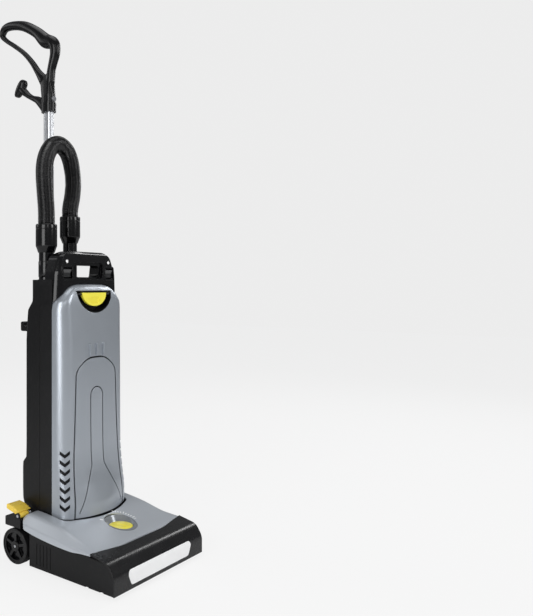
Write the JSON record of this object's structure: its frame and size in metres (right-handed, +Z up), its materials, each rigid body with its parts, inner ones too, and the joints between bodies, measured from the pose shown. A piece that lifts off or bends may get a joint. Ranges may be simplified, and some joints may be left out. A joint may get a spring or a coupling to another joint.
{
  "type": "upright vacuum cleaner",
  "caption": "Commercial upright vacuum cleaner with a wide floor head, two rear wheels, a leaning body, a stowed ribbed hose and a telescopic loop handle.",
  "frame": {"origin": "bottom centre of the bounding box, on the floor", "axes": "+Z up, -Y the front with the bumper, +X to the right as seen from the front"},
  "size_m": [0.305, 0.4979, 1.2545],
  "materials": {
    "grey_shell": "metallic silver-grey paint-like gloss",
    "black_shell": "fine grained black",
    "gloss_black": "polished black",
    "charcoal": "satin charcoal",
    "yellow": "bright yellow",
    "pedal_yellow": "satin warm yellow",
    "white": "white",
    "ring_clear": "pale translucent",
    "button_grey": "satin grey",
    "steel": "brushed",
    "aluminium": "drawn, satin",
    "bronze": "sintered",
    "tyre": "soft black",
    "rubber": "soft black",
    "bristle": "nylon tufts",
    "paper": "fleece paper",
    "card": "pressed card",
    "filter": "open foam",
    "fleece": "pleated fleece",
    "board": "circuit board green"
  },
  "bodies": {
    "head": {"head_base": "black_shell", "sole_plate": "steel", "head_cover": "grey_shell", "bumper": "charcoal", "bumper_strip": "white", "axle_block_left": "black_shell", "axle_block_right": "black_shell", "wheel_axles": "steel", "brush_bearings": "steel", "brush_motor": "steel", "drive_belt": "rubber", "dial_ring": "ring_clear", "suction_duct": "black_shell", "pedal_pin": "steel", "pedal_spring": "steel", "head_screws": "steel"},
    "left_wheel_set": {"left_wheel": "gloss_black", "left_tyre": "tyre"},
    "right_wheel_set": {"right_wheel": "gloss_black", "right_tyre": "tyre"},
    "brush": {"brush_roller": "charcoal", "brush_bristles": "bristle"},
    "pinion": {"motor_pinion": "steel"},
    "dial": {"height_dial": "yellow"},
    "carriage": {"roller_carriage": "black_shell"},
    "rollers": {"front_rollers": "rubber"},
    "pedal": {"release_pedal": "pedal_yellow"},
    "upright": {"rear_housing": "black_shell", "pivot_yoke": "charcoal", "pivot_bushes": "bronze", "motor_cover": "charcoal", "suction_motor": "steel", "motor_mounts": "rubber", "motor_filter": "filter", "exhaust_filter": "fleece", "dust_bag": "paper", "bag_collar": "card", "riser_duct": "charcoal", "top_housing": "gloss_black", "control_board": "board", "indicator_lamps": "white", "wand_tube": "gloss_black", "wand_cuff": "gloss_black", "suction_hose": "gloss_black", "inlet_cuff": "gloss_black", "inlet_pipe": "gloss_black", "cable_gland": "rubber", "body_screws": "steel", "cover_seal": "rubber"},
    "cover": {"front_cover": "grey_shell", "arch_panel": "grey_shell", "latch_bezel": "gloss_black"},
    "latch": {"cover_latch": "yellow"},
    "rotor": {"motor_rotor": "aluminium"},
    "power_switch": {"power_rocker": "gloss_black"},
    "brush_switch": {"brush_rocker": "gloss_black"},
    "handle": {"handle_tube": "aluminium", "loop_handle": "gloss_black"},
    "handle_lock": {"lock_button": "button_grey"},
    "cable_hook": {"lower_cable_hook": "black_shell"}
  },
  "joints": [
    {"name": "recline", "type": "hinge", "parent": "head", "child": "upright", "pos_m": [0, 0.0295, 0.038], "axis": [-1, 0, 0], "range_deg": [0, 65]},
    {"name": "left_wheel_spin", "type": "hinge", "parent": "head", "child": "left_wheel_set", "pos_m": [-0.142, 0.0295, 0.038], "axis": [1, 0, 0], "continuous": true},
    {"name": "right_wheel_spin", "type": "hinge", "parent": "head", "child": "right_wheel_set", "pos_m": [0.142, 0.0295, 0.038], "axis": [1, 0, 0], "continuous": true},
    {"name": "brush_spin", "type": "hinge", "parent": "head", "child": "brush", "pos_m": [0, -0.199, 0.03], "axis": [1, 0, 0], "continuous": true},
    {"name": "pinion_spin", "type": "hinge", "parent": "head", "child": "pinion", "pos_m": [0.112, -0.084, 0.05], "axis": [1, 0, 0], "continuous": true},
    {"name": "height_dial_turn", "type": "hinge", "parent": "head", "child": "dial", "pos_m": [0, -0.141, 0.079], "axis": [0, 0, 1], "range_deg": [0, 180]},
    {"name": "carriage_lift", "type": "slide", "parent": "head", "child": "carriage", "axis": [0, 0, 1], "range_m": [0, 0.006]},
    {"name": "front_roller_spin", "type": "hinge", "parent": "carriage", "child": "rollers", "pos_m": [0, -0.145, 0.011], "axis": [1, 0, 0], "continuous": true},
    {"name": "pedal_press", "type": "hinge", "parent": "head", "child": "pedal", "pos_m": [-0.131, 0.022, 0.104], "axis": [-1, 0, 0], "range_deg": [0, 10], "stiffness_Nm_per_rad": 1.5, "springref_deg": -8.59},
    {"name": "cover_tilt", "type": "hinge", "parent": "upright", "child": "cover", "pos_m": [0, -0.086, 0.107], "axis": [1, 0, 0], "range_deg": [0, 25]},
    {"name": "latch_pull", "type": "hinge", "parent": "cover", "child": "latch", "pos_m": [0, -0.0615, 0.5805], "axis": [-1, 0, 0], "range_deg": [0, 30], "stiffness_Nm_per_rad": 0.12, "springref_deg": -11.46},
    {"name": "fan_spin", "type": "hinge", "parent": "upright", "child": "rotor", "pos_m": [0.014, 0.015, 0.18], "axis": [0, 0, 1], "continuous": true},
    {"name": "power_press", "type": "hinge", "parent": "upright", "child": "power_switch", "pos_m": [-0.069, -0.042, 0.627], "axis": [-1, 0, 0], "range_deg": [0, 14]},
    {"name": "brush_press", "type": "hinge", "parent": "upright", "child": "brush_switch", "pos_m": [0.069, -0.042, 0.627], "axis": [-1, 0, 0], "range_deg": [0, 14]},
    {"name": "handle_telescope", "type": "slide", "parent": "upright", "child": "handle", "axis": [0, 0, 1], "range_m": [-0.15, 0]},
    {"name": "lock_press", "type": "slide", "parent": "handle", "child": "handle_lock", "axis": [0, 1, 0], "range_m": [0, 0.0015], "stiffness_N_per_m": 600, "springref_m": -0.002},
    {"name": "cable_hook_swivel", "type": "hinge", "parent": "upright", "child": "cable_hook", "pos_m": [0, 0.096, 0.5], "axis": [0, 1, 0], "range_deg": [0, 180]}
  ],
  "couplings": [
    {"joint": "pinion_spin", "follows": "brush_spin", "ratio": 1.6667},
    {"joint": "height_dial_turn", "follows": "carriage_lift", "rad_per_m": 523.6}
  ]
}
